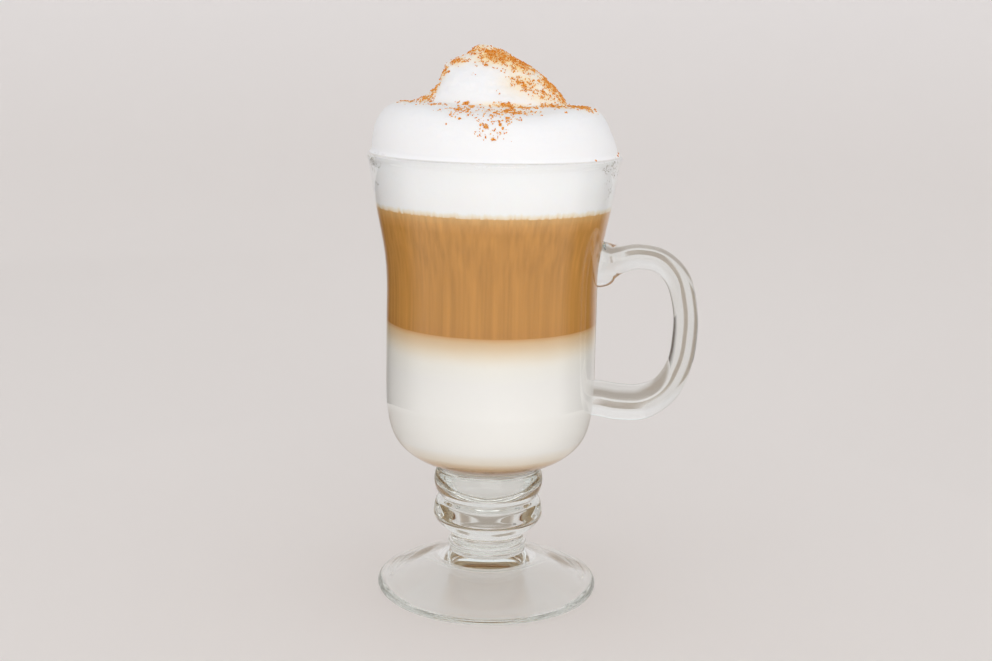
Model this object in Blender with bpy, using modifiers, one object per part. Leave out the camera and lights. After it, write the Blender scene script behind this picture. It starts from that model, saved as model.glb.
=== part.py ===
"""A layered cappuccino in the footed glass mug that it is served in, at real size.

It runs with blender --background --python part.py, or from the text editor. Units are metres
and +Z is up. The origin is the centre of the foot's flat underside, and the handle lies in
the XZ plane on the +X side. The mug is one solid of glass. In it lie, from the bottom up, a
thin settled layer of coffee, milk, a milky layer, coffee with milk, and milk foam that domes
over the rim and ends in an off-centre peak dusted with cinnamon.
"""

import math
import random

import bmesh
import bpy
from mathutils import Matrix, Vector
from mathutils.bvhtree import BVHTree
from mathutils.geometry import interpolate_bezier

# Turned shapes
STEPS = 48
MERGE = 0.00001
GAP = 0.0003
SHARP_ANGLE = math.radians(40)

# Lip: a round bead, thicker than the wall below it
RIM_HEIGHT = 0.1364
LIP_RADIUS = 0.0382
LIP_ROUND = 0.00125
LIP_CENTRE = (LIP_RADIUS - LIP_ROUND, RIM_HEIGHT - LIP_ROUND)
LIP_UNDERSIDE = -45
LIP_FACETS = 6

# Bowl, outer side, as (radius, height) from under the lip down to the stem
BOWL_FLARE = (
    (0.03745, 0.1334),
    (0.03665, 0.1275),
    (0.03535, 0.1203),
    (0.03395, 0.1132),
    (0.03270, 0.1060),
    (0.03205, 0.0980),
)
BOWL_FOOT = (
    (0.03205, 0.0625),
    (0.03155, 0.0570),
    (0.03060, 0.0525),
    (0.02920, 0.0492),
    (0.02700, 0.0464),
    (0.02400, 0.0440),
    (0.02030, 0.0420),
    (0.01620, 0.0402),
)

# Bowl, inner side, from the centre of the floor up to the lip
FLOOR_HEIGHT = 0.0433
INNER_FLOOR = (
    (0.0, FLOOR_HEIGHT),
    (0.0085, 0.0435),
    (0.0150, 0.0441),
    (0.0198, 0.0454),
    (0.0238, 0.0475),
    (0.0268, 0.0505),
    (0.0286, 0.0545),
    (0.0294, 0.0595),
    (0.0296, 0.0650),
)
INNER_FLARE = (
    (0.0296, 0.0960),
    (0.03015, 0.1050),
    (0.03160, 0.1132),
    (0.03300, 0.1203),
    (0.03435, 0.1275),
    (0.03530, 0.1325),
)

# Stem: two rings, a neck and a small collar, as (radius, height) downwards
UPPER_RING = ((0.0159, 0.0388), (0.0167, 0.0367), (0.0169, 0.0343), (0.0163, 0.0318))
NOTCH = (0.0150, 0.0300)
LOWER_RING = ((0.0163, 0.0282), (0.0169, 0.0256), (0.0168, 0.0232), (0.0148, 0.0205))
NECK = ((0.0122, 0.0184), (0.0114, 0.0170))
COLLAR_CENTRE = (0.0110, 0.0143)
COLLAR_ROUND = 0.0013
COLLAR_HALF_ARC = 60
COLLAR_FACETS = 3

# Foot: a shallow cone with a round edge and a flat underside
FOOT_RADIUS = 0.0344
FOOT_EDGE_ROUND = 0.0014
FOOT_EDGE_FROM = 66
FOOT_EDGE_FACETS = 4
FOOT_TOP = ((0.0119, 0.0121), (0.0150, 0.0105), (0.0215, 0.0078), (0.0280, 0.0050))

# Handle: (reach from the axis, height, half its thickness) along its middle line
HANDLE_PATH = (
    (0.0270, 0.1034, 0.0072),
    (0.0334, 0.1039, 0.0074),
    (0.0362, 0.1045, 0.0055),
    (0.0395, 0.1051, 0.0041),
    (0.0450, 0.1059, 0.0038),
    (0.0515, 0.1044, 0.00375),
    (0.0567, 0.0989, 0.00385),
    (0.0592, 0.0895, 0.0037),
    (0.0594, 0.0810, 0.00375),
    (0.0581, 0.0724, 0.0038),
    (0.0541, 0.0648, 0.0045),
    (0.0473, 0.0607, 0.0054),
    (0.0400, 0.0604, 0.0056),
    (0.0340, 0.0613, 0.0055),
    (0.0270, 0.0619, 0.0055),
)
HANDLE_BAR_THICKNESS = 0.0038
HANDLE_BAR_DEPTH = 0.0052
HANDLE_DEPTH_GAIN = 0.35
HANDLE_SPAN_POINTS = 3
HANDLE_BEVEL_RESOLUTION = 4
HANDLE_ROOT_DEPTH = 0.0012

# Levels between the layers of the drink
SETTLED_TOP = 0.0456
MILK_TOP = 0.0770
MILKY_TOP = 0.0857
COFFEE_TOP = 0.1205

# Foam above the rim: outer side of its cap, from the centre of the top down to the lip
CAP_TOP = 0.1513
CAP_SIDE = (
    (0.0, CAP_TOP),
    (0.0160, 0.1513),
    (0.0240, 0.1511),
    (0.0292, 0.1507),
    (0.0326, 0.1490),
    (0.0349, 0.1461),
    (0.0361, 0.1428),
    (0.0365, 0.1394),
    (0.0363, 0.1376),
)
CAP_OVER_LIP = 108
CAP_LIP_FACETS = 3
CAP_LEAN = 0.0015
CAP_LEAN_FROM = 0.1380
CAP_LEAN_OVER = 0.0060
CAP_SLOPE = 0.0007
VALLEY_DEPTH = 0.0020
VALLEY_DIRECTION = math.radians(-84)
VALLEY_HALF_WIDTH = math.radians(34)
VALLEY_RADIUS = 0.0285
VALLEY_REACH = 0.0095

# Foam dollop on the cap: a mound that leans as it rises, longer than it is deep
DOLLOP_BASE = 0.1490
DOLLOP_FOOT = 0.1508
DOLLOP_PEAK = 0.1680
DOLLOP_RADIUS = 0.0218
DOLLOP_TAPER = 0.58
DOLLOP_DEPTH_SHARE = 0.86
DOLLOP_CENTRE = (-0.0004, 0.0010)
DOLLOP_DRIFT = (-0.0034, 0.0012)
DOLLOP_STEPS = 32
DOLLOP_RINGS = 13
DOLLOP_RING_CROWDING = 1.6

# Swellings and dents of the dollop: (direction, its spread, share of height, its spread, gain)
DOLLOP_FORMS = (
    (math.radians(-128), math.radians(36), 0.45, 0.26, 0.15),
    (math.radians(-74), math.radians(20), 0.38, 0.30, -0.10),
    (math.radians(-35), math.radians(34), 0.30, 0.30, 0.06),
    (math.radians(-168), math.radians(58), 0.90, 0.13, -0.30),
    (math.radians(172), math.radians(42), 0.66, 0.12, 0.11),
    (math.radians(184), math.radians(32), 0.00, 0.11, 0.15),
    (math.radians(10), math.radians(50), 0.80, 0.10, -0.10),
    (math.radians(60), math.radians(24), 0.45, 0.30, -0.08),
)

# Cinnamon: the larger clumps, as zones of (centre, half sizes, count)
CLUMP_RADIUS = (0.00042, 0.00072)
CLUMP_FLATNESS = 0.6
CLUMP_SINK = 0.35
CLUMP_SPACING = 0.0019
CLUMP_TRIES = 400
CLUMP_SEED = 11
CLUMP_ZONES = {
    "peak": ((0.0030, -0.0010), (0.0095, 0.0080), 14),
    "crease": ((0.0030, -0.0190), (0.0170, 0.0018), 10),
    "valley": ((-0.0010, -0.0235), (0.0075, 0.0042), 10),
    "left_ledge": ((-0.0190, -0.0040), (0.0055, 0.0070), 4),
    "right_ledge": ((0.0245, -0.0050), (0.0045, 0.0090), 6),
}

# Finishes: colour, roughness, transmission
GLASS = ((0.93, 0.96, 0.95, 1.0), 0.02, 1.0)
SETTLED = ((0.31, 0.16, 0.065, 1.0), 0.45, 0.0)
MILK = ((0.88, 0.85, 0.80, 1.0), 0.40, 0.0)
MILKY = ((0.72, 0.53, 0.35, 1.0), 0.40, 0.0)
COFFEE = ((0.51, 0.25, 0.085, 1.0), 0.35, 0.0)
FOAM = ((0.93, 0.92, 0.91, 1.0), 0.75, 0.0)


def curve_through(stations, per_span):
    """Points of a smooth line through stations, which may have two or three values each."""
    known = [Vector(tuple(s) + (0.0,) * (3 - len(s))) for s in stations]
    last = len(known) - 1
    points = [known[0]]
    for i in range(last):
        before = known[max(i - 1, 0)]
        after = known[min(i + 2, last)]
        lead = known[i] + (known[i + 1] - before) / 6
        trail = known[i + 1] - (after - known[i]) / 6
        points += interpolate_bezier(known[i], lead, trail, known[i + 1], per_span + 1)[1:]
    return points


def arc(centre, radius, start, end, count):
    """Points of an arc in the profile plane, with angles in degrees from the outward way."""
    points = []
    for i in range(count + 1):
        angle = math.radians(start + (end - start) * i / count)
        points.append((centre[0] + radius * math.cos(angle), centre[1] + radius * math.sin(angle)))
    return points


def flat(points):
    """Profile points as (radius, height)."""
    return [(p[0], p[1]) for p in points]


def inner_wall():
    """The bowl's inner side, from the centre of its floor up to just under the lip."""
    return list(INNER_FLOOR) + flat(curve_through(INNER_FLARE, 1))


def offset(points, distance):
    """A profile moved towards the axis side by distance, each point along its own normal."""
    moved = []
    for i, point in enumerate(points):
        before = Vector(points[max(i - 1, 0)])
        after = Vector(points[min(i + 1, len(points) - 1)])
        along = (after - before).normalized()
        radius = max(point[0] - along.y * distance, 0.0)
        if i == 0:
            radius = 0.0
        moved.append((radius, point[1] + along.x * distance))
    return moved


def radius_at(points, height):
    """Radius of a rising profile at a height."""
    for (r0, z0), (r1, z1) in zip(points, points[1:]):
        if z0 <= height <= z1 and z1 > z0:
            return r0 + (r1 - r0) * (height - z0) / (z1 - z0)
    return points[-1][0]


def new_object(name, data, group):
    """An object of some data, linked to a collection."""
    thing = bpy.data.objects.new(name, data)
    group.objects.link(thing)
    return thing


def as_mesh(thing):
    """Replaces an object by one with its evaluated mesh, its doubles merged and placed in the world."""
    evaluated = thing.evaluated_get(bpy.context.evaluated_depsgraph_get())
    mesh = bpy.data.meshes.new_from_object(evaluated)
    name = thing.name
    group = thing.users_collection[0]
    mesh.transform(thing.matrix_world)
    bpy.data.objects.remove(thing)
    shape = bmesh.new()
    shape.from_mesh(mesh)
    bmesh.ops.remove_doubles(shape, verts=shape.verts, dist=MERGE)
    bmesh.ops.recalc_face_normals(shape, faces=shape.faces)
    shape.to_mesh(mesh)
    shape.free()
    mesh.name = name
    return new_object(name, mesh, group)


def turned(name, profile, steps, group):
    """A solid turned about Z from a profile that runs down its outer side."""
    mesh = bpy.data.meshes.new(name)
    edges = [(i, i + 1) for i in range(len(profile) - 1)]
    mesh.from_pydata([(r, 0.0, z) for r, z in profile], edges, [])
    thing = new_object(name, mesh, group)
    screw = thing.modifiers.new("Turn", "SCREW")
    screw.axis = "Z"
    screw.angle = math.tau
    screw.steps = steps
    screw.render_steps = steps
    screw.use_merge_vertices = True
    screw.merge_threshold = MERGE
    bpy.context.view_layer.update()
    return as_mesh(thing)


def join(thing, others, operation, solver):
    """Applies one Boolean of a collection on an object, and removes the collection."""
    boolean = thing.modifiers.new("Join", "BOOLEAN")
    boolean.operation = operation
    boolean.operand_type = "COLLECTION"
    boolean.collection = others
    boolean.solver = solver
    bpy.context.view_layer.update()
    joined = as_mesh(thing)
    for other in list(others.objects):
        bpy.data.objects.remove(other)
    bpy.data.collections.remove(others)
    return joined


def helper_group(name):
    """A collection for shapes that a Boolean takes up."""
    group = bpy.data.collections.new(name)
    bpy.context.scene.collection.children.link(group)
    return group


def finish(thing, material_name, look):
    """Gives a piece its material, smooth shading and sharp edges where it turns hard."""
    colour, roughness, transmission = look
    material = bpy.data.materials.new(material_name)
    material.use_nodes = True
    shader = material.node_tree.nodes["Principled BSDF"]
    shader.inputs["Base Color"].default_value = colour
    shader.inputs["Roughness"].default_value = roughness
    shader.inputs["Metallic"].default_value = 0.0
    shader.inputs["Transmission Weight"].default_value = transmission
    thing.data.materials.clear()
    thing.data.materials.append(material)
    thing.data.shade_smooth()
    thing.data.set_sharp_from_angle(angle=SHARP_ANGLE)


def lip_profile():
    """The lip's round bead, from its inner side over the top to under its outer side."""
    return arc(LIP_CENTRE, LIP_ROUND, 180, LIP_UNDERSIDE, LIP_FACETS)


def stem_profile():
    """Rings, neck, collar and foot, down to the centre of the underside."""
    collar = arc(COLLAR_CENTRE, COLLAR_ROUND, COLLAR_HALF_ARC, -COLLAR_HALF_ARC, COLLAR_FACETS)
    edge_centre = (FOOT_RADIUS - FOOT_EDGE_ROUND, FOOT_EDGE_ROUND)
    edge = arc(edge_centre, FOOT_EDGE_ROUND, FOOT_EDGE_FROM, -90, FOOT_EDGE_FACETS)
    return [*UPPER_RING, NOTCH, *LOWER_RING, *NECK, *collar, *FOOT_TOP, *edge, (0.0, 0.0)]


def deepen(bar, path):
    """Sets the bar's depth in Y, which grows less than its thickness does towards the roots."""
    for vertex in bar.data.vertices:
        near = min(path, key=lambda p: math.hypot(vertex.co.x - p.x, vertex.co.z - p.y))
        depth = HANDLE_BAR_DEPTH + HANDLE_DEPTH_GAIN * (near.z - HANDLE_BAR_THICKNESS)
        vertex.co.y *= depth / near.z


def handle(group):
    """The handle's bent bar, deeper than it is thick, cut off halfway through the bowl's wall."""
    curve = bpy.data.curves.new("handle", "CURVE")
    curve.dimensions = "3D"
    curve.bevel_depth = 1.0
    curve.bevel_resolution = HANDLE_BEVEL_RESOLUTION
    curve.use_fill_caps = True
    curve.render_resolution_u = 0
    path = curve_through(HANDLE_PATH, HANDLE_SPAN_POINTS)
    spline = curve.splines.new("POLY")
    spline.points.add(len(path) - 1)
    for knot, point in zip(spline.points, path):
        knot.co = (point.x, 0.0, point.y, 1.0)
        knot.radius = point.z
    bar = new_object("handle", curve, group)
    bpy.context.view_layer.update()
    bar = as_mesh(bar)
    deepen(bar, path)
    inside = helper_group("inside_of_wall")
    core = offset(inner_wall(), -HANDLE_ROOT_DEPTH)
    turned("core", [(0.0, core[-1][1]), *reversed(core)], STEPS, inside)
    return join(bar, inside, "DIFFERENCE", "EXACT")


def glass_mug(group):
    """The whole mug in one solid: bowl with its lip, stem, foot and handle."""
    outer = flat(curve_through(BOWL_FLARE, 1)) + list(BOWL_FOOT)
    profile = inner_wall() + lip_profile() + outer + stem_profile()
    mug = turned("glass_mug", profile, STEPS, group)
    additions = helper_group("mug_additions")
    handle(additions)
    mug = join(mug, additions, "UNION", "EXACT")
    finish(mug, "clear_glass", GLASS)


def layer(name, low, high, look, group):
    """One layer of the drink between two levels, a gap away from the glass."""
    wall = offset(inner_wall(), GAP)
    side = [(r, z) for r, z in wall if low < z < high]
    bottom = [(0.0, low), (radius_at(wall, low), low)] if low > wall[0][1] else []
    top = [(radius_at(wall, high), high), (0.0, high)]
    drink = turned(name, list(reversed(bottom + side + top)), STEPS, group)
    finish(drink, name, look)


def sculpt_cap(foam):
    """Leans the cap away from the handle and sinks a shallow valley into its front."""
    for vertex in foam.data.vertices:
        point = vertex.co
        if point.z <= CAP_LEAN_FROM:
            continue
        reach = math.hypot(point.x, point.y)
        side = max(point.x, 0.0) / LIP_RADIUS
        lift = min((point.z - CAP_LEAN_FROM) / CAP_LEAN_OVER, 1.0)
        turn = (math.atan2(point.y, point.x) - VALLEY_DIRECTION) / VALLEY_HALF_WIDTH
        away = (reach - VALLEY_RADIUS) / VALLEY_REACH
        sink = VALLEY_DEPTH * math.exp(-turn * turn - away * away) * lift
        point.x -= CAP_LEAN * side * lift
        point.z -= sink + CAP_SLOPE * side * lift


def dollop_profile():
    """The mound's side, from its peak down, with rings closer together where it is flat."""
    profile = []
    for i in range(DOLLOP_RINGS + 1):
        share = 1.0 - (i / DOLLOP_RINGS) ** DOLLOP_RING_CROWDING
        height = DOLLOP_FOOT + (DOLLOP_PEAK - DOLLOP_FOOT) * share
        profile.append((DOLLOP_RADIUS * (1.0 - share) ** DOLLOP_TAPER, height))
    return [*profile, (DOLLOP_RADIUS, DOLLOP_BASE), (0.0, DOLLOP_BASE)]


def dollop_gain(direction, share):
    """How far the mound's side stands out in a direction at a share of its height, as a factor."""
    gain = 1.0
    for middle, spread, level, reach, amount in DOLLOP_FORMS:
        turn = (direction - middle + math.pi) % math.tau - math.pi
        gain += amount * math.exp(-((turn / spread) ** 2) - ((share - level) / reach) ** 2)
    return gain


def dollop(group):
    """The mound of foam, turned and then pushed into its uneven leaning form."""
    mound = turned("dollop", dollop_profile(), DOLLOP_STEPS, group)
    for vertex in mound.data.vertices:
        point = vertex.co
        share = max(point.z - DOLLOP_FOOT, 0.0) / (DOLLOP_PEAK - DOLLOP_FOOT)
        gain = dollop_gain(math.atan2(point.y, point.x), share)
        drift = share * share
        point.x = point.x * gain + DOLLOP_CENTRE[0] + DOLLOP_DRIFT[0] * drift
        point.y = point.y * gain * DOLLOP_DEPTH_SHARE + DOLLOP_CENTRE[1] + DOLLOP_DRIFT[1] * drift


def clump_places(foam):
    """Seeded places on the foam for the cinnamon clumps, no two closer than their spacing."""
    shape = bmesh.new()
    shape.from_mesh(foam.data)
    tree = BVHTree.FromBMesh(shape)
    shape.free()
    draw = random.Random(CLUMP_SEED)
    places = []
    for centre, half_sizes, count in CLUMP_ZONES.values():
        wanted = len(places) + count
        for _ in range(CLUMP_TRIES):
            if len(places) == wanted:
                break
            x = centre[0] + half_sizes[0] * draw.uniform(-1.0, 1.0)
            y = centre[1] + half_sizes[1] * draw.uniform(-1.0, 1.0)
            size = draw.uniform(*CLUMP_RADIUS)
            spot, normal, _, _ = tree.ray_cast(Vector((x, y, 1.0)), Vector((0.0, 0.0, -1.0)))
            place = spot + normal * size * CLUMP_FLATNESS * (1.0 - 2.0 * CLUMP_SINK)
            if all((place - other).length > CLUMP_SPACING for other, _ in places):
                places.append((place, size))
    return places


def clump(number, place, size, group):
    """One rough flat clump of cinnamon, from an icosahedron."""
    mesh = bpy.data.meshes.new(f"clump_{number:02d}")
    shape = bmesh.new()
    bmesh.ops.create_icosphere(shape, subdivisions=1, radius=size)
    turn = Matrix.Rotation(number, 3, "X") @ Matrix.Rotation(2.0 * number, 3, "Z")
    bmesh.ops.rotate(shape, matrix=turn, verts=shape.verts)
    bmesh.ops.scale(shape, vec=(1.0, 1.0, CLUMP_FLATNESS), verts=shape.verts)
    bmesh.ops.translate(shape, vec=place, verts=shape.verts)
    shape.to_mesh(mesh)
    shape.free()
    return new_object(mesh.name, mesh, group)


def foam_profile():
    """The foam's outer side, from the middle of its cap, past the lip and down inside the glass."""
    past_lip = arc(LIP_CENTRE, LIP_ROUND + GAP, CAP_OVER_LIP, 180, CAP_LIP_FACETS)
    wall = offset(inner_wall(), GAP)
    low = COFFEE_TOP + GAP
    side = [(r, z) for r, z in wall if low < z < past_lip[-1][1]]
    return [*CAP_SIDE, *past_lip, *reversed(side), (radius_at(wall, low), low), (0.0, low)]


def milk_foam(group):
    """Foam in the glass and domed over it, with its dollop and the cinnamon clumps on it."""
    foam = turned("milk_foam", foam_profile(), STEPS, group)
    sculpt_cap(foam)
    mounds = helper_group("mounds")
    dollop(mounds)
    foam = join(foam, mounds, "UNION", "EXACT")
    clumps = helper_group("cinnamon_clumps")
    for number, (place, size) in enumerate(clump_places(foam)):
        clump(number, place, size, clumps)
    foam = join(foam, clumps, "UNION", "EXACT")
    finish(foam, "milk_foam", FOAM)


def main():
    """Builds every sub-part of the drink and its glass."""
    for old in list(bpy.data.objects):
        bpy.data.objects.remove(old)
    group = bpy.data.collections.new("cappuccino")
    bpy.context.scene.collection.children.link(group)
    glass_mug(group)
    layer("settled_coffee", FLOOR_HEIGHT, SETTLED_TOP, SETTLED, group)
    layer("milk", SETTLED_TOP + GAP, MILK_TOP, MILK, group)
    layer("milky_layer", MILK_TOP + GAP, MILKY_TOP, MILKY, group)
    layer("coffee", MILKY_TOP + GAP, COFFEE_TOP, COFFEE, group)
    milk_foam(group)


main()
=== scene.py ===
"""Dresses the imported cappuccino: clear glass, layered drink, milk foam and cinnamon.

Units are metres and +Z is up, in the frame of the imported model. The sizes below are those of
the solids, so each piece lies where its solid lies. Every CAD node is replaced by a finer piece
of the same form: the glass gets more facets and the hollow under its foot, and each layer reaches
just into the glass wall, so that no air gap shows. The cinnamon powder is made here alone, grain
by grain.
"""

import logging
import math
from collections.abc import Mapping, Sequence
from dataclasses import dataclass
from enum import Enum
from typing import NamedTuple

import bmesh
import bpy
import numpy as np
from bpy.types import Material, Node, NodeSocket, NodeTree, Object
from mathutils import Euler, Matrix, Vector, noise
from mathutils.bvhtree import BVHTree
from mathutils.geometry import interpolate_bezier


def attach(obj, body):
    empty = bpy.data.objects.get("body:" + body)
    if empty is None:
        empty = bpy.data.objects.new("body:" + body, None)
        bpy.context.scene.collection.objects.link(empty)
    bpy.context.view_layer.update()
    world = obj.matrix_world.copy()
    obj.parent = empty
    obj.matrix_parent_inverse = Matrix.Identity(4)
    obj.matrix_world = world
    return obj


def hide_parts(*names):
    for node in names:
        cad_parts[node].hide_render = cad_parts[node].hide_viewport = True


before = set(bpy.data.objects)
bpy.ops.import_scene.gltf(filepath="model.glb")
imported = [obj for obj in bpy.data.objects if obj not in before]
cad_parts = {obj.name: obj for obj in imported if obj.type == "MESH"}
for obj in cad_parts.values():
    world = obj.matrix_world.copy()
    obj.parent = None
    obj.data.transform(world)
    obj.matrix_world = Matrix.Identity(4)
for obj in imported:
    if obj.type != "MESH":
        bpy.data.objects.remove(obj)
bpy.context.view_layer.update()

LOG = logging.getLogger("cappuccino")
BODY = "root"
MM = 0.001

Point = tuple[float, float]
Place = tuple[float, float, float]
Colour = tuple[float, float, float, float]
Grains = list[tuple[Vector, float]]

# Turned shapes
TURN_STEPS = 128
FOAM_TURN_STEPS = 96
MERGE = 0.000002
SPECK = 0.0001
SMOOTH_ANGLE = math.radians(40)
WALL_REACH = 0.00015
SPAN_POINTS = 4

# Lip: a round bead, thicker than the wall below it
LIP_ROUND = 0.00125
LIP_CENTRE = (0.03695, 0.13515)
LIP_UNDERSIDE = -45
LIP_FACETS = 20

# Bowl, outer side, as (radius, height) from under the lip down to the stem
BOWL_FLARE = (
    (0.03745, 0.1334), (0.03665, 0.1275), (0.03535, 0.1203), (0.03395, 0.1132),
    (0.03270, 0.1060), (0.03205, 0.0980), (0.03205, 0.0860),
)
BOWL_FOOT = (
    (0.03205, 0.0740), (0.03205, 0.0625), (0.03155, 0.0570), (0.03060, 0.0525),
    (0.02920, 0.0492), (0.02700, 0.0464), (0.02400, 0.0440), (0.02030, 0.0420),
    (0.01620, 0.0402),
)

# Bowl, inner side, from the centre of the floor up to the lip
INNER_FLOOR = (
    (0.0, 0.0433), (0.0085, 0.0435), (0.0150, 0.0441), (0.0198, 0.0454),
    (0.0238, 0.0475), (0.0268, 0.0505), (0.0286, 0.0545), (0.0294, 0.0595),
    (0.0296, 0.0650), (0.0296, 0.0750),
)
INNER_FLARE = (
    (0.0296, 0.0860), (0.0296, 0.0960), (0.03015, 0.1050), (0.03160, 0.1132),
    (0.03300, 0.1203), (0.03435, 0.1275), (0.03530, 0.1325),
)

# Stem: two rings, a neck and a small collar, as (radius, height) downwards
UPPER_RING = (
    (0.01575, 0.0394), (0.0159, 0.0388), (0.0167, 0.0367), (0.0169, 0.0343),
    (0.0163, 0.0318), (0.0151, 0.0302),
)
LOWER_RING = (
    (0.0151, 0.0298), (0.0163, 0.0282), (0.0169, 0.0256), (0.0168, 0.0232),
    (0.0148, 0.0205), (0.0122, 0.0184), (0.0114, 0.0170),
)
COLLAR_CENTRE = (0.0110, 0.0143)
COLLAR_ROUND = 0.0013
COLLAR_HALF_ARC = 60
COLLAR_FACETS = 10

# Foot: a shallow cone with a round edge
FOOT_RADIUS = 0.0344
FOOT_EDGE_ROUND = 0.0014
FOOT_EDGE_FROM = 66
FOOT_EDGE_FACETS = 14
FOOT_TOP = (
    (0.0119, 0.0121), (0.0150, 0.0105), (0.0215, 0.0078), (0.0280, 0.0050),
    (0.0326, 0.00307),
)

# Underside: a narrow ring to stand on, round a shallow dome
UNDERSIDE = (
    (0.0312, 0.0), (0.0300, 0.0005), (0.0275, 0.0018), (0.0215, 0.0044),
    (0.0150, 0.0066), (0.0090, 0.0078), (0.0, 0.0082),
)

# Handle: (reach from the axis, height, half its thickness) along its middle line
HANDLE_PATH = (
    (0.0270, 0.1034, 0.0072), (0.0334, 0.1039, 0.0074), (0.0362, 0.1045, 0.0055),
    (0.0395, 0.1051, 0.0041), (0.0450, 0.1059, 0.0038), (0.0515, 0.1044, 0.00375),
    (0.0567, 0.0989, 0.00385), (0.0592, 0.0895, 0.0037), (0.0594, 0.0810, 0.00375),
    (0.0581, 0.0724, 0.0038), (0.0541, 0.0648, 0.0045), (0.0473, 0.0607, 0.0054),
    (0.0400, 0.0604, 0.0056), (0.0340, 0.0613, 0.0055), (0.0270, 0.0619, 0.0055),
)

# Levels between the layers of the drink
FLOOR_HEIGHT = 0.0433
# The brown layer under the milk is a painted reflection of a brown wooden table seen through the
# bowl's floor.
BROWN_LAYER_TOP = 0.0456
MILK_TOP = 0.0770
MILKY_TOP = 0.0857
COFFEE_TOP = 0.1205

# Stage: the floor's tone, and the point that the lamps are aimed at
FLOOR_COLOUR = "F0EBE7"
AIM = (0.0, 0.0, 0.09)


def linear(hex_colour: str) -> Colour:
    """Turns a colour as seen into the linear one that shaders take.

    Args:
        hex_colour: An sRGB colour such as "F0E8DC".

    Returns:
        Red, green, blue and an alpha of 1, all linear.
    """
    channels = []
    for start in (0, 2, 4):
        value = int(hex_colour[start : start + 2], 16) / 255.0
        channels.append(value / 12.92 if value <= 0.04045 else ((value + 0.055) / 1.055) ** 2.4)
    return (channels[0], channels[1], channels[2], 1.0)


def feed(tree: NodeTree, node: Node, inputs: Mapping[str | int, object]) -> None:
    """Sets or links a node's inputs.

    Args:
        tree: The node tree.
        node: The node.
        inputs: For each named or numbered input a value, an output, or a node for its first output.
    """
    for key, value in inputs.items():
        if isinstance(value, Node):
            value = value.outputs[0]
        if isinstance(value, NodeSocket):
            tree.links.new(value, node.inputs[key])
        else:
            node.inputs[key].default_value = value


def add_node(
    tree: NodeTree,
    kind: str,
    inputs: Mapping[str | int, object] | None = None,
    stops: Sequence[tuple[float, str]] = (),
    **settings: object,
) -> Node:
    """Adds one node with its settings and links.

    Args:
        tree: The node tree that takes it.
        kind: The node's type without "ShaderNode", such as "TexNoise".
        inputs: What feeds its inputs.
        stops: Place and colour of each stop, where the node is a colour ramp.
        settings: Properties of the node itself.

    Returns:
        The new node.
    """
    made = tree.nodes.new(f"ShaderNode{kind}")
    for name, value in settings.items():
        setattr(made, name, value)
    feed(tree, made, inputs or {})
    for index, (position, colour) in enumerate(stops):
        elements = made.color_ramp.elements
        element = elements[index] if index < len(elements) else elements.new(position)
        element.position = position
        element.color = linear(colour)
    return made


class Blank(NamedTuple):
    """A new material: its tree, its bare shader, and the place on the piece, whole and by axis."""

    material: Material
    tree: NodeTree
    shader: Node
    spot: NodeSocket
    axes: Node


def new_material(name: str) -> Blank:
    """Makes a material with a bare shader.

    Args:
        name: The material's name.

    Returns:
        The material and what its nodes start from.
    """
    material = bpy.data.materials.new(name)
    material.use_nodes = True
    tree = material.node_tree
    spot = add_node(tree, "TexCoord").outputs["Object"]
    axes = add_node(tree, "SeparateXYZ", {0: spot})
    return Blank(material, tree, tree.nodes["Principled BSDF"], spot, axes)


class Solidity(Enum):
    """How one shape joins another."""

    UNITE = "UNION"
    CUT = "DIFFERENCE"


class Fade(Enum):
    """Which way a card gets paler towards its two edges."""

    ROUND = "round the drink"
    OUTWARD = "away from the drink"


def deselect() -> None:
    """Deselects every object, from object mode."""
    if bpy.context.object is not None and bpy.context.object.mode != "OBJECT":
        bpy.ops.object.mode_set(mode="OBJECT")
    bpy.ops.object.select_all(action="DESELECT")


def activate(*pieces: Object) -> None:
    """Selects only these objects, and makes the first one active.

    Args:
        pieces: The objects.
    """
    deselect()
    for piece in pieces:
        piece.select_set(True)
    bpy.context.view_layer.objects.active = pieces[0]


def smooth_line(stations: Sequence[Sequence[float]], per_span: int) -> list[Vector]:
    """Points of a smooth line through stations.

    Args:
        stations: Two or three values each.
        per_span: How many points are added between two stations.

    Returns:
        The stations and the added points, in order, with three values each.
    """
    # A station's line runs along the step between its neighbours, and a sixth of that step is
    # where the curve's own handle lies.
    known = [Vector((*s, *(0.0,) * (3 - len(s)))) for s in stations]
    last = len(known) - 1
    points = [known[0]]
    for i in range(last):
        before = known[max(i - 1, 0)]
        after = known[min(i + 2, last)]
        lead = known[i] + (known[i + 1] - before) / 6
        trail = known[i + 1] - (after - known[i]) / 6
        points += interpolate_bezier(known[i], lead, trail, known[i + 1], per_span + 2)[1:]
    return points


def smooth_profile(stations: Sequence[Point], per_span: int) -> list[Point]:
    """Points of a smooth line through stations, as (radius, height)."""
    return [(max(p.x, 0.0), p.y) for p in smooth_line(stations, per_span)]


def arc(centre: Point, radius: float, start: float, end: float, count: int) -> list[Point]:
    """Points of an arc in the profile plane.

    Args:
        centre: Its centre, as (radius, height).
        radius: Its own radius.
        start: Where it starts, in degrees from the outward way.
        end: Where it ends.
        count: How many facets it has.

    Returns:
        The points in order.
    """
    points = []
    for i in range(count + 1):
        angle = math.radians(start + (end - start) * i / count)
        points.append((centre[0] + radius * math.cos(angle), centre[1] + radius * math.sin(angle)))
    return points


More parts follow.
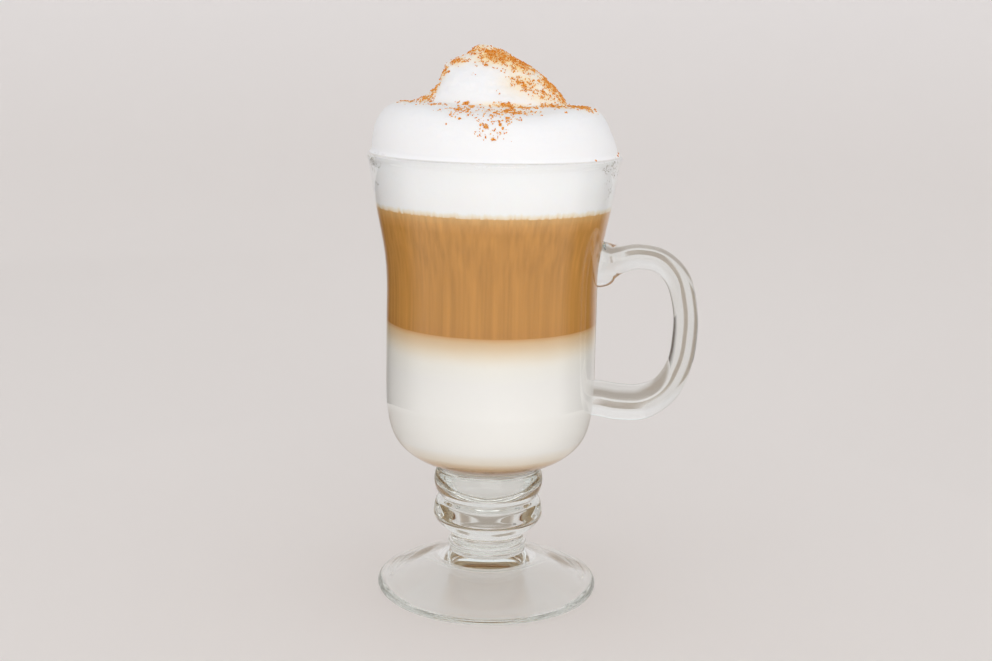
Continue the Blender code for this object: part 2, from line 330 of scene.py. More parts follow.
def grown(points: Sequence[Point], distance: float) -> list[Point]:
    """Moves a rising profile away from the axis.

    Args:
        points: The profile, from the axis outwards and up.
        distance: How far each point moves along its own normal.

    Returns:
        The moved profile, whose first point stays on the axis.
    """
    moved = []
    for i, point in enumerate(points):
        before = Vector(points[max(i - 1, 0)])
        after = Vector(points[min(i + 1, len(points) - 1)])
        along = (after - before).normalized()
        radius = 0.0 if i == 0 else max(point[0] + along.y * distance, 0.0)
        moved.append((radius, point[1] - along.x * distance))
    return moved


def radius_at(points: Sequence[Point], height: float) -> float:
    """Radius of a rising profile at a height.

    Args:
        points: The profile.
        height: The height.

    Returns:
        The radius there, or that of the last point above the profile.
    """
    for (r0, z0), (r1, z1) in zip(points, points[1:]):
        if z0 <= height <= z1 and z1 > z0:
            return r0 + (r1 - r0) * (height - z0) / (z1 - z0)
    return points[-1][0]


def inner_wall(per_span: int = 3) -> list[Point]:
    """The bowl's inner side, from the centre of its floor up to just under the lip."""
    return smooth_profile((*INNER_FLOOR, *INNER_FLARE), per_span)


def turned(
    name: str, profile: Sequence[Point], steps: int, first: float = 0.0, sweep: float = math.tau
) -> Object:
    """Models a turned shape: a point is drawn out into the profile, and that is spun about Z.

    Args:
        name: The object's name.
        profile: (radius, height) of each point, down the outer side.
        steps: How many facets the turn has.
        first: The direction of the profile, as an angle from +X.
        sweep: How far it is spun.

    Returns:
        The shape, with its normals outwards where it is closed.
    """
    deselect()
    in_x, in_y = math.cos(first), math.sin(first)
    radius, height = profile[0]
    bpy.ops.mesh.primitive_plane_add(size=SPECK, location=(radius * in_x, radius * in_y, height))
    piece = bpy.context.active_object
    piece.name = name
    bpy.ops.object.transform_apply(location=True, rotation=True, scale=True)
    bpy.ops.object.mode_set(mode="EDIT")
    bpy.ops.mesh.select_mode(type="VERT")
    bpy.ops.mesh.select_all(action="SELECT")
    bpy.ops.mesh.merge(type="CENTER")
    for (r0, z0), (r1, z1) in zip(profile, profile[1:]):
        step = ((r1 - r0) * in_x, (r1 - r0) * in_y, z1 - z0)
        bpy.ops.mesh.extrude_vertices_move(TRANSFORM_OT_translate={"value": step})
    bpy.ops.mesh.select_all(action="SELECT")
    bpy.ops.mesh.spin(steps=steps, angle=sweep, center=(0.0, 0.0, 0.0), axis=(0.0, 0.0, 1.0))
    bpy.ops.mesh.select_all(action="SELECT")
    bpy.ops.mesh.remove_doubles(threshold=MERGE)
    bpy.ops.mesh.normals_make_consistent(inside=False)
    bpy.ops.object.mode_set(mode="OBJECT")
    piece.data.name = name
    return piece


def combine(piece: Object, other: Object, way: Solidity) -> None:
    """Joins another shape to a piece, or cuts it out of it, and removes the other one.

    Args:
        piece: The piece that stays.
        other: The shape that is used up.
        way: Whether it is added or cut out.
    """
    activate(piece)
    boolean = piece.modifiers.new("Join", "BOOLEAN")
    boolean.operation = way.value
    boolean.object = other
    boolean.solver = "MANIFOLD"
    bpy.ops.object.modifier_apply(modifier=boolean.name)
    bpy.data.objects.remove(other)


def shade(piece: Object, material: Material, by_angle: bool = True) -> None:
    """Gives a piece its one material and smooth shading.

    Args:
        piece: The piece.
        material: Its material.
        by_angle: Whether its sharp edges stay sharp.
    """
    activate(piece)
    piece.data.materials.clear()
    piece.data.materials.append(material)
    if by_angle:
        bpy.ops.object.shade_smooth_by_angle(angle=SMOOTH_ANGLE)
    else:
        bpy.ops.object.shade_smooth()
    deselect()


def gathered(items: bpy.types.bpy_prop_collection, name: str, width: int = 3) -> np.ndarray:
    """Reads a value of every vertex, face or normal of a mesh.

    Args:
        items: The vertices, faces or normals.
        name: The value's name.
        width: How many numbers it has.

    Returns:
        One row of numbers for each.
    """
    values = np.empty(len(items) * width)
    items.foreach_get(name, values)
    return values.reshape(-1, width)


def place(piece: Object, node: str) -> None:
    """Lets a finished piece ride and stand for its CAD node, whose part is hidden.

    Args:
        piece: The piece.
        node: The CAD node that it replaces.
    """
    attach(piece, BODY)
    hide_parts(node)
    LOG.info("%s: %d faces, replaces %s", piece.name, len(piece.data.polygons), node)


@dataclass(frozen=True)
class ClearGlass:
    """Soda-lime glass, blown and fire polished: clear, very smooth, faintly green where it is deep."""

    colour: str = "FBFDFC"
    clear_colour: str = "FEFEFE"
    depth_colour: str = "C4DCCF"
    absorption: float = 3.5
    ior: float = 1.52
    foot_height: float = 0.0150
    bowl_passes: float = 0.5

    def material(self) -> Material:
        """Makes the material, whose green comes from the length of glass that light passes.

        Returns:
            The material.
        """
        material, tree, shader, _, axes = new_material("soda_lime_glass")
        polished = {"Base Color": linear(self.colour), "Roughness": 0.0, "IOR": self.ior}
        feed(tree, shader, {**polished, "Transmission Weight": 1.0})
        green = {"Color": linear(self.depth_colour), "Density": self.absorption}
        depth = add_node(tree, "VolumeAbsorption", green)
        # Lamps reach the drink straight through the glass, as they do through a thin clear wall.
        # So does the soft light on its way to the floor under the foot, and part of it in the bowl.
        foot = {"From Min": self.foot_height, "From Max": self.foot_height + MM, "To Min": 1.0}
        passes = {"Value": axes.outputs["Z"], **foot, "To Max": self.bowl_passes}
        passing = add_node(tree, "MapRange", passes)
        ray = add_node(tree, "LightPath")
        soft_rays = {0: passing, 1: ray.outputs["Is Diffuse Ray"]}
        soft_light = add_node(tree, "Math", soft_rays, operation="MULTIPLY")
        rays = {0: ray.outputs["Is Shadow Ray"], 1: soft_light}
        lighting = add_node(tree, "Math", rays, operation="MAXIMUM")
        clear = add_node(tree, "BsdfTransparent", {"Color": linear(self.clear_colour)})
        mixed = add_node(tree, "MixShader", {0: lighting, 1: shader, 2: clear})
        feed(tree, tree.nodes["Material Output"], {"Surface": mixed, "Volume": depth})
        return material


@dataclass(frozen=True)
class Drink:
    """A layer of coffee and milk behind glass, coloured by its height, with faint vertical streaks of
    painted reflection.

    The liquid wets the glass, so it has next to no shine of its own there.
    """

    name: str
    heights: tuple[float, ...]
    colours: tuple[str, ...]
    reflection_streak: float = 0.0
    swirl: float = 0.0

    def material(self) -> Material:
        """Makes the material: a ramp over the height, shifted by slow noise, times the painted
        reflection streaks.

        Returns:
            The material.
        """
        material, tree, shader, spot, axes = new_material(self.name)
        # Slow swirls, about 8 mm wide, where the layers have mixed.
        swirls = add_node(tree, "TexNoise", {"Vector": spot, "Scale": 120.0, "Detail": 2.0})
        pushes = {0: swirls, 1: self.swirl, 2: -0.5 * self.swirl}
        shift = add_node(tree, "Math", pushes, operation="MULTIPLY_ADD")
        height = add_node(tree, "Math", {0: axes.outputs["Z"], 1: shift}, operation="ADD")
        low, high = self.heights[0], self.heights[-1]
        share = add_node(tree, "MapRange", {"Value": height, "From Min": low, "From Max": high})
        shares = [(level - low) / (high - low) for level in self.heights]
        ramp = add_node(tree, "ValToRGB", {0: share}, stops=list(zip(shares, self.colours)))
        # Painted reflection: lighter and darker streaks about 1.2 mm wide and 60 mm long, for the soft
        # reflections that run up the bowl.
        drawn_out = add_node(tree, "Mapping", {"Vector": spot, "Scale": (1.0, 1.0, 0.02)})
        reflection_streaks = add_node(tree, "TexNoise", {"Vector": drawn_out, "Scale": 800.0, "Detail": 3.0})
        noise_range = {"Value": reflection_streaks, "From Min": 0.25, "From Max": 0.75}
        gains = {"To Min": 1.0 - self.reflection_streak, "To Max": 1.0 + self.reflection_streak}
        gain = add_node(tree, "MapRange", {**noise_range, **gains})
        mixed = add_node(tree, "VectorMath", {0: ramp, "Scale": gain}, operation="SCALE")
        wet = {"Roughness": 0.5, "IOR": 1.34, "Specular IOR Level": 0.05}
        feed(tree, shader, {"Base Color": mixed, **wet})
        return material


@dataclass(frozen=True)
class Microfoam:
    """Steamed milk foam: white, silky and matt, with bubbles a fraction of a millimetre wide.

    Cinnamon dust tints it where the attribute "dust" is high, and coffee creeps into its foot.
    """

    white: str = "EDEEEF"
    # Painted light: the foam behind the glass gets a whiter copy of its colour, against the light that
    # the glass takes.
    lifted_white_in_glass: str = "FBFCFD"
    bubble_reflection_grey: str = "A39F92"
    contact_shade: str = "DEDCDA"
    dusted: str = "F3D8A2"
    deep_dust: str = "DCA55A"
    creeping_coffee: str = "DDB680"
    creeping_milk: str = "EDDDBF"
    creep_height: float = 0.0020
    bubble_heights: Point = (0.1240, 0.1345)
    bubble_reaches: Point = (0.0230, 0.0320)
    lip_heights: Point = (0.1350, 0.1375)

    def dusty(self, blank: Blank) -> Node:
        """Colour of the open foam: white, tinted where powder settles.

        Args:
            blank: The material's start.

        Returns:
            The node that gives the colour.
        """
        tree = blank.tree
        dust = add_node(tree, "Attribute", attribute_name="dust").outputs["Fac"]
        # Powder settles in patches about 1 mm across and specks of about 0.3 mm.
        fine = {"Vector": blank.spot, "Scale": 900.0, "Detail": 4.0, "Roughness": 0.7}
        patches = add_node(tree, "TexNoise", fine)
        speckled = add_node(tree, "Math", {0: patches, 1: 1.6, 2: -0.8}, operation="MULTIPLY_ADD")
        amounts = {0: speckled, 1: dust, 2: dust}
        amount = add_node(tree, "Math", amounts, operation="MULTIPLY_ADD", use_clamp=True)
        tints = ((0.0, self.white), (0.55, self.dusted), (1.0, self.deep_dust))
        return add_node(tree, "ValToRGB", {0: amount}, tints)

    def steeped(self, blank: Blank) -> Node:
        """Colour of the foam behind the glass: a whiter copy of the open foam, painted light for what
        the glass takes, with coffee in its lowest millimetre.

        Args:
            blank: The material's start.

        Returns:
            The node that gives the colour.
        """
        tree = blank.tree
        # The foot's edge is ragged, with drips about 0.7 mm wide that hang a little.
        drawn_out = add_node(tree, "Mapping", {"Vector": blank.spot, "Scale": (1.0, 1.0, 0.15)})
        drips = add_node(tree, "TexNoise", {"Vector": drawn_out, "Scale": 700.0, "Detail": 3.0})
        hangs = {0: drips, 1: -self.creep_height, 2: blank.axes.outputs["Z"]}
        edge = add_node(tree, "Math", hangs, operation="MULTIPLY_ADD")
        low, high = COFFEE_TOP - 0.5 * self.creep_height, COFFEE_TOP + 0.5 * self.creep_height
        creep = add_node(tree, "MapRange", {"Value": edge, "From Min": low, "From Max": high})
        tones = ((0.0, self.creeping_coffee), (0.18, self.creeping_milk), (0.85, self.lifted_white_in_glass))
        return add_node(tree, "ValToRGB", {0: creep}, tones)

    def bubbled(self, blank: Blank, foam: Node) -> NodeSocket:
        """Adds bubbles that stand against the glass, in patches near the lip's two sides, whose grey
        is painted reflection.

        Args:
            blank: The material's start.
            foam: The colour of the foam behind the glass.

        Returns:
            The colour with the bubbles.
        """
        tree = blank.tree
        # Bubbles about 0.4 mm wide, in patches about 5 mm across.
        cells = add_node(tree, "TexVoronoi", {"Vector": blank.spot, "Scale": 1300.0})
        patchy = add_node(tree, "TexNoise", {"Vector": blank.spot, "Scale": 210.0, "Detail": 2.0})
        low, high = self.bubble_heights
        heights = {"Value": blank.axes.outputs["Z"], "From Min": low, "From Max": high}
        near_lip = add_node(tree, "MapRange", {**heights, "To Min": -0.85, "To Max": -0.66})
        sideways = add_node(tree, "Math", {0: blank.axes.outputs["X"]}, operation="ABSOLUTE")
        near, far = self.bubble_reaches
        reaches = {"Value": sideways, "From Min": near, "From Max": far}
        at_side = add_node(tree, "MapRange", {**reaches, "To Min": -0.15, "To Max": 0.29})
        beside = add_node(tree, "Math", {0: near_lip, 1: at_side}, operation="ADD")
        room = add_node(tree, "Math", {0: patchy, 1: beside}, operation="ADD")
        inside = add_node(tree, "MapRange", {"Value": room, "From Max": 0.12, "To Max": 0.34})
        sizes = {0: cells.outputs["Distance"], 1: inside}
        spots = add_node(tree, "Math", sizes, operation="LESS_THAN")
        colours = {0: spots, 6: foam, 7: linear(self.bubble_reflection_grey)}
        return add_node(tree, "Mix", colours, data_type="RGBA").outputs[2]

    def relief(self, blank: Blank) -> Node:
        """Relief of the foam's skin: the finest bubbles that still show, on soft lumps.

        Args:
            blank: The material's start.

        Returns:
            The node that gives the normals.
        """
        tree, spot = blank.tree, blank.spot
        # Bubbles of about 0.25 mm, and lumps of about 2.5 mm where the foam was spooned on.
        bubbles = add_node(tree, "TexNoise", {"Vector": spot, "Scale": 3500.0, "Detail": 2.0})
        soft = {"Vector": spot, "Scale": 400.0, "Detail": 3.0, "Roughness": 0.55}
        lumps = add_node(tree, "TexNoise", soft)
        skin = add_node(tree, "Math", {0: lumps, 1: 2.5, 2: bubbles}, operation="MULTIPLY_ADD")
        return add_node(tree, "Bump", {"Strength": 0.20, "Distance": 0.0002, "Height": skin})

    def material(self) -> Material:
        """Makes the material: open foam above the lip, steeped and bubbled foam below it, painted
        lighter there, and a painted contact shade where the foam meets the lip.

        Returns:
            The material.
        """
        blank = new_material("milk_microfoam")
        tree = blank.tree
        behind_glass = self.bubbled(blank, self.steeped(blank))
        low, high = self.lip_heights
        heights = {"Value": blank.axes.outputs["Z"], "From Min": low, "From Max": high}
        over_lip = add_node(tree, "MapRange", heights)
        colours = {0: over_lip, 6: behind_glass, 7: self.dusty(blank)}
        colour = add_node(tree, "Mix", colours, data_type="RGBA").outputs[2]
        # Painted shade: where the foam meets the top of the lip, a thin grey band stands in for the
        # contact shadow there.
        off, on = "000000", "FFFFFF"
        contact_band = ((0.0, off), (0.30, off), (0.36, on), (0.50, on), (0.62, off))
        share = add_node(tree, "ValToRGB", {0: over_lip}, contact_band)
        edges = {0: share, 6: colour, 7: linear(self.contact_shade)}
        contact_shaded = add_node(tree, "Mix", edges, data_type="RGBA").outputs[2]
        feed(tree, blank.shader, {"Base Color": contact_shaded, "Normal": self.relief(blank)})
        matt = {"Roughness": 0.62, "IOR": 1.34, "Specular IOR Level": 0.3}
        deep = {"Subsurface Weight": 0.25, "Subsurface Radius": (1.0, 0.85, 0.7)}
        feed(tree, blank.shader, {**matt, **deep, "Subsurface Scale": 0.0012})
        return blank.material


@dataclass(frozen=True)
class GroundCinnamon:
    """Ground cinnamon bark: dry matt grains, from red-brown where damp to tan."""

    damp: str = "CC680C"
    middling: str = "DE9030"
    dry: str = "F0C47E"
    crown_heights: Point = (0.1580, 0.1640)

    def material(self) -> Material:
        """Makes the material, whose colour changes from grain to grain.

        Returns:
            The material.
        """
        material, tree, shader, spot, axes = new_material("ground_cinnamon")
        # Grain to grain change, at about 0.5 mm.
        change = add_node(tree, "TexNoise", {"Vector": spot, "Scale": 1800.0, "Detail": 2.0})
        # On the crown, where it lies thickest, the powder looks a little darker than lower down.
        low, high = self.crown_heights
        crown = {"Value": axes.outputs["Z"], "From Min": low, "From Max": high}
        dryness = add_node(tree, "MapRange", {**crown, "To Min": 0.045, "To Max": 0.005})
        share = add_node(tree, "Math", {0: change, 1: dryness}, operation="ADD")
        tones = ((0.30, self.damp), (0.52, self.middling), (0.75, self.dry))
        tone = add_node(tree, "ValToRGB", {0: share}, tones)
        feed(tree, shader, {"Base Color": tone, "Roughness": 0.9, "Specular IOR Level": 0.2})
        return material


@dataclass
class GlassMug:
    """The mug: a turned bowl, stem and foot, with the handle melted on."""

    ring_points: int = 5
    handle_span_points: int = 5
    handle_sides: int = 40
    handle_thickness: float = 0.0038
    handle_depth: float = 0.0052
    depth_gain: float = 0.35
    root_depth: float = 0.0012
    squareness: float = 2.1

    def profile(self) -> list[Point]:
        """The whole outline, from the bowl's floor over the lip and down to the underside.

        Returns:
            Its points as (radius, height).
        """
        lip = arc(LIP_CENTRE, LIP_ROUND, 180, LIP_UNDERSIDE, LIP_FACETS)
        outer = smooth_profile((*BOWL_FLARE, *BOWL_FOOT), SPAN_POINTS)
        upper = smooth_profile(UPPER_RING, self.ring_points)
        lower = smooth_profile(LOWER_RING, self.ring_points)
        collar = arc(COLLAR_CENTRE, COLLAR_ROUND, COLLAR_HALF_ARC, -COLLAR_HALF_ARC, COLLAR_FACETS)
        top = smooth_profile(FOOT_TOP, SPAN_POINTS)
        edge_centre = (FOOT_RADIUS - FOOT_EDGE_ROUND, FOOT_EDGE_ROUND)
        edge = arc(edge_centre, FOOT_EDGE_ROUND, FOOT_EDGE_FROM, -90, FOOT_EDGE_FACETS)
        hollow = smooth_profile(UNDERSIDE, SPAN_POINTS)
        return [*inner_wall(), *lip, *outer, *upper, *lower, *collar, *top, *edge, *hollow]

    def bar_depth(self, half_thickness: float) -> float:
        """Half the handle's depth in Y, which grows less than its thickness does."""
        return self.handle_depth + self.depth_gain * (half_thickness - self.handle_thickness)

    def add_ring(self, at: Vector, along: Vector) -> None:
        """Adds one ring of the handle's bar, in edit mode.

        Args:
            at: The station, as (reach, height, half thickness).
            along: The direction of the middle line there, as (reach, height, 0).
        """
        tilt = math.atan2(along.x, along.y)
        centre = (at.x, 0.0, at.y)
        bpy.ops.mesh.primitive_circle_add(
            vertices=self.handle_sides, radius=at.z, location=centre, rotation=(0.0, tilt, 0.0)
        )
        deeper = (1.0, self.bar_depth(at.z) / at.z, 1.0)
        bpy.ops.transform.resize(value=deeper, center_override=centre)
        shape = bmesh.from_edit_mesh(bpy.context.object.data)
        across = Vector((math.cos(tilt), 0.0, -math.sin(tilt)))
        for vertex in shape.verts:
            if vertex.select:
                away = vertex.co - Vector(centre)
                reach = abs(away.dot(across)) / at.z
                depth = abs(away.y) / self.bar_depth(at.z)
                full = (reach**self.squareness + depth**self.squareness) ** (-1 / self.squareness)
                vertex.co = Vector(centre) + away * full
        bmesh.update_edit_mesh(bpy.context.object.data)

    def bar(self) -> Object:
        """Models the handle's bar: rings along its middle line, bridged one to the next.

        Returns:
            The bar, closed at both ends.
        """
        path = smooth_line(HANDLE_PATH, self.handle_span_points)
        deselect()
        bpy.ops.mesh.primitive_circle_add(vertices=3, radius=SPECK, location=(0.0, 0.0, 0.0))
        bar = bpy.context.active_object
        bpy.ops.object.mode_set(mode="EDIT")
        bpy.ops.mesh.delete(type="VERT")
        for i, at in enumerate(path):
            along = path[min(i + 1, len(path) - 1)] - path[max(i - 1, 0)]
            self.add_ring(at, Vector((along.x, along.y, 0.0)))
        bpy.ops.mesh.select_mode(type="EDGE")
        self.bridge(bar, len(path))
        bpy.ops.mesh.select_all(action="SELECT")
        bpy.ops.mesh.normals_make_consistent(inside=False)
        bpy.ops.object.mode_set(mode="OBJECT")
        bar.name = "handle_bar"
        return bar

    def bridge(self, bar: Object, rings: int) -> None:
        """Bridges each ring to the next, and closes both ends, in edit mode.

        Args:
            bar: The object in edit mode, whose vertices lie ring by ring.
            rings: How many rings there are.
        """
        for first in range(rings - 1):
            self.select_rings(bar, first, first + 1)
            bpy.ops.mesh.bridge_edge_loops()
        for end in (0, rings - 1):
            self.select_rings(bar, end, end)
            bpy.ops.mesh.edge_face_add()

    def select_rings(self, bar: Object, first: int, last: int) -> None:
        """Selects only the edges round some of the bar's rings, in edit mode.

        Args:
            bar: The object in edit mode.
            first: The first ring.
            last: The last ring.
        """
        bpy.ops.mesh.select_all(action="DESELECT")
        shape = bmesh.from_edit_mesh(bar.data)
        for edge in shape.edges:
            rings = {v.index // self.handle_sides for v in edge.verts}
            if len(rings) == 1 and first <= rings.pop() <= last:
                edge.select_set(True)
        bmesh.update_edit_mesh(bar.data)

    def build(self, glass: Material) -> Object:
        """Builds the mug and puts it in the place of its CAD node.

        Args:
            glass: Its material.

        Returns:
            The mug.
        """
        mug = turned("mug", self.profile(), TURN_STEPS)
        bar = self.bar()
        core = grown(inner_wall(), self.root_depth)
        combine(bar, turned("core", [(0.0, core[-1][1]), *reversed(core)], TURN_STEPS), Solidity.CUT)
        combine(mug, bar, Solidity.UNITE)
        mug.name = "clear_mug"
        shade(mug, glass)
        place(mug, "glass_mug")
        return mug


@dataclass
class DrinkLayer:
    """One level layer of the drink, which reaches just into the glass."""

    name: str
    node: str
    low: float
    high: float
    finish: Drink

    def build(self) -> Object:
        """Builds the layer and puts it in the place of its CAD node.

        Returns:
            The layer.
        """
        wall = grown(inner_wall(), WALL_REACH)
        side = [(r, z) for r, z in wall if self.low < z < self.high]
        bottom = []
        if self.low > wall[0][1]:
            bottom = [(0.0, self.low), (radius_at(wall, self.low), self.low)]
        top = [(radius_at(wall, self.high), self.high), (0.0, self.high)]
        layer = turned(self.name, list(reversed([*bottom, *side, *top])), TURN_STEPS)
        shade(layer, self.finish.material())
        place(layer, self.node)
        return layer


@dataclass(frozen=True)
class Swelling:
    """A swelling or a dent in the side of the dollop."""

    direction: float
    spread: float
    level: float
    reach: float
    gain: float

    def at(self, direction: float, share: float) -> float:
        """Its part of the dollop's gain in reach.

        Args:
            direction: The direction from the dollop's axis, as an angle from +X.
            share: The share of the dollop's height.

        Returns:
            The part, as a share of the dollop's radius.
        """
        turn = (direction - math.radians(self.direction) + math.pi) % math.tau - math.pi
        turn /= math.radians(self.spread)
        away = (share - self.level) / self.reach
        return self.gain * math.exp(-turn * turn - away * away)


@dataclass(frozen=True)
class DustZone:
    """A place on the foam with cinnamon dust: an ellipsoid in millimetres and its density."""

    centre: Place
    radii: Place
    density: float
    tint: float = 1.0

    def at(self, points: np.ndarray) -> np.ndarray:
        """The zone's density at points given in millimetres, one row each."""
        away = (points - np.array(self.centre)) / np.array(self.radii)
        return self.density * np.exp(-(away**2).sum(axis=1))


@dataclass
class MilkFoam:
    """The foam in the glass and domed over it, with the leaning dollop on top."""

    cap_side: tuple[Point, ...] = (
        (0.0, 0.1513),
        (0.0160, 0.1513),
        (0.0240, 0.1511),
        (0.0292, 0.1507),
        (0.0326, 0.1490),
        (0.0349, 0.1461),
        (0.0361, 0.1428),
        (0.0365, 0.1394),
        (0.0365, 0.1378),
        (0.0369, 0.1369),
        (0.0374, 0.1364),
        (0.0378, 0.1361),
    )
    over_lip: float = 42.0
    lap_facets: int = 8
    lean: float = 0.0015
    lean_from: float = 0.1380
    lean_over: float = 0.0060
    slope: float = 0.0007
    rim_radius: float = 0.0382
    valley_depth: float = 0.0020
    valley_direction: float = math.radians(-84)
    valley_half_width: float = math.radians(34)
    valley_radius: float = 0.0285
    valley_reach: float = 0.0095
    dollop_base: float = 0.1490
    dollop_foot: float = 0.1508
    dollop_peak: float = 0.1680
    dollop_radius: float = 0.0218
    dollop_taper: float = 0.58
    dollop_depth: float = 0.86
    dollop_centre: Point = (-0.0004, 0.0010)
    dollop_drift: Point = (-0.0034, 0.0012)
    dollop_rings: int = 40
    ring_crowding: float = 1.6
    voxel: float = 0.00045
    softening: float = 0.5
    softening_passes: int = 5
    # Broad swells, folds and fine grain: how close they lie, and how high they stand
    fold_scales: tuple[float, ...] = (90.0, 330.0, 1300.0)
    fold_pushes: tuple[float, ...] = (0.00025, 0.00024, 0.00005)
    fold_flatness: float = 1.6
    fold_fade: float = 0.004
    bare_gain: float = 1.3
    swellings: tuple[Swelling, ...] = (
        Swelling(-128, 36, 0.45, 0.26, 0.15),
        Swelling(-74, 20, 0.38, 0.30, -0.10),
        Swelling(-35, 34, 0.30, 0.30, 0.06),
        Swelling(-168, 58, 0.90, 0.13, -0.30),
        Swelling(172, 42, 0.70, 0.10, 0.14),
        Swelling(180, 40, 0.34, 0.16, -0.10),
        Swelling(184, 32, 0.00, 0.10, 0.13),
        Swelling(10, 50, 0.80, 0.10, -0.10),
        Swelling(60, 24, 0.45, 0.30, -0.08),
    )
    dust: tuple[DustZone, ...] = (
        DustZone((1.0, -4.0, 164.6), (7.0, 6.0, 3.0), 0.78, 1.1),
        DustZone((7.0, -2.5, 162.0), (5.5, 8.0, 3.0), 0.66, 1.1),
        DustZone((-5.0, 0.0, 166.0), (4.5, 5.0, 2.5), 0.40, 1.3),
        DustZone((-11.0, -4.0, 163.0), (3.0, 4.0, 1.6), 0.55),
        DustZone((-15.2, -4.2, 159.5), (1.5, 3.4, 3.0), 0.55),
        DustZone((-18.0, -5.2, 155.0), (1.8, 3.4, 2.6), 0.60),
        DustZone((-20.0, -5.5, 152.2), (3.0, 4.5, 1.3), 0.48),
        DustZone((-26.0, -1.0, 151.2), (3.6, 7.0, 1.2), 0.20),
        DustZone((15.5, -4.0, 156.6), (4.0, 5.5, 4.0), 0.60, 1.2),
        DustZone((19.5, -4.0, 153.0), (3.0, 5.5, 3.0), 0.50, 1.2),
        DustZone((8.5, -10.5, 157.5), (6.5, 5.0, 4.5), 0.37, 1.1),
        DustZone((13.5, -10.5, 153.6), (6.5, 5.0, 2.6), 0.36, 1.1),
        DustZone((4.0, -17.2, 151.0), (9.0, 1.8, 0.9), 0.48),
        DustZone((16.5, -12.0, 150.9), (8.0, 3.6, 1.2), 0.44),
        DustZone((25.5, -6.5, 150.5), (5.5, 7.0, 1.6), 0.34),
        DustZone((4.5, -23.0, 149.8), (7.5, 3.6, 1.4), 0.40, 0.7),
        DustZone((-1.0, -31.0, 148.0), (9.0, 3.6, 2.6), 0.24, 0.1),
        DustZone((-1.5, -35.0, 144.5), (4.5, 1.6, 2.0), 0.25, 0.1),
        DustZone((-9.5, -24.0, 150.0), (4.5, 8.0, 2.6), 0.30, 0.2),
        DustZone((-16.0, -16.0, 151.0), (5.0, 4.0, 1.6), 0.22, 0.6),
        DustZone((0.0, 9.0, 159.0), (14.0, 9.0, 7.0), 0.5),
    )
    bare: tuple[DustZone, ...] = (
        DustZone((-8.5, -13.0, 157.0), (6.5, 4.5, 5.5), 1.0),
        DustZone((-12.0, -10.0, 156.0), (4.0, 5.0, 4.0), 0.8),
    )

    def cap(self) -> Object:
        """Models the foam's turned body: its dome, its seat on the lip and its side in the glass.

        Returns:
            The body, leaning and with its valley pressed in.
        """
        past_lip = arc(LIP_CENTRE, LIP_ROUND - WALL_REACH, self.over_lip, 180, self.lap_facets)
        wall = grown(inner_wall(), WALL_REACH)
        side = [(r, z) for r, z in wall if COFFEE_TOP < z < past_lip[-1][1]]
        # The foot sinks a little into the coffee, just inside the coffee's own side.
        foot = radius_at(wall, COFFEE_TOP) - 0.5 * WALL_REACH
        low = COFFEE_TOP - self.voxel
        dome = smooth_profile(self.cap_side, SPAN_POINTS)
        profile = [*dome, *past_lip, *reversed(side), (foot, COFFEE_TOP), (foot, low), (0.0, low)]
        body = turned("foam_body", profile, FOAM_TURN_STEPS)
        for vertex in body.data.vertices:
            self.lean_back(vertex.co)
        return body

    def lean_back(self, point: Vector) -> None:
        """Leans a point of the cap away from the handle, and sinks it where the valley lies.

        Args:
            point: The point, which is moved.
        """
        if point.z <= self.lean_from:
            return
        reach = math.hypot(point.x, point.y)
        side = max(point.x, 0.0) / self.rim_radius
        lift = min((point.z - self.lean_from) / self.lean_over, 1.0)
        turn = (math.atan2(point.y, point.x) - self.valley_direction) / self.valley_half_width
        away = (reach - self.valley_radius) / self.valley_reach
        sink = self.valley_depth * math.exp(-turn * turn - away * away) * lift
        point.x -= self.lean * side * lift
        point.z -= sink + self.slope * side * lift

    def dollop(self) -> Object:
        """Models the mound: turned, then pushed into its uneven leaning form.

        Returns:
            The mound.
        """
        profile = []
        for i in range(self.dollop_rings + 1):
            share = 1.0 - (i / self.dollop_rings) ** self.ring_crowding
            height = self.dollop_foot + (self.dollop_peak - self.dollop_foot) * share
            profile.append((self.dollop_radius * (1.0 - share) ** self.dollop_taper, height))
        profile += [(self.dollop_radius, self.dollop_base), (0.0, self.dollop_base)]
        mound = turned("dollop", profile, FOAM_TURN_STEPS)
        for vertex in mound.data.vertices:
            point = vertex.co
            rise = self.dollop_peak - self.dollop_foot
            share = max(point.z - self.dollop_foot, 0.0) / rise
            direction = math.atan2(point.y, point.x)
            gain = 1.0 + sum(s.at(direction, share) for s in self.swellings)
            drift = share * share
            point.x = point.x * gain + self.dollop_centre[0] + self.dollop_drift[0] * drift
            deep = point.y * gain * self.dollop_depth
            point.y = deep + self.dollop_centre[1] + self.dollop_drift[1] * drift
        return mound

    def melt(self, body: Object, mound: Object) -> Object:
        """Melts the mound into the body, as one skin of foam.

        Args:
            body: The foam's body.
            mound: The dollop.

        Returns:
            The one foam.
        """
        activate(body, mound)
        bpy.ops.object.join()
        foam = bpy.context.active_object
        foam.data.remesh_voxel_size = self.voxel
        bpy.ops.object.voxel_remesh()
        soft = foam.modifiers.new("Soft", "SMOOTH")
        soft.factor = self.softening
        soft.iterations = self.softening_passes
        bpy.ops.object.modifier_apply(modifier=soft.name)
        return foam

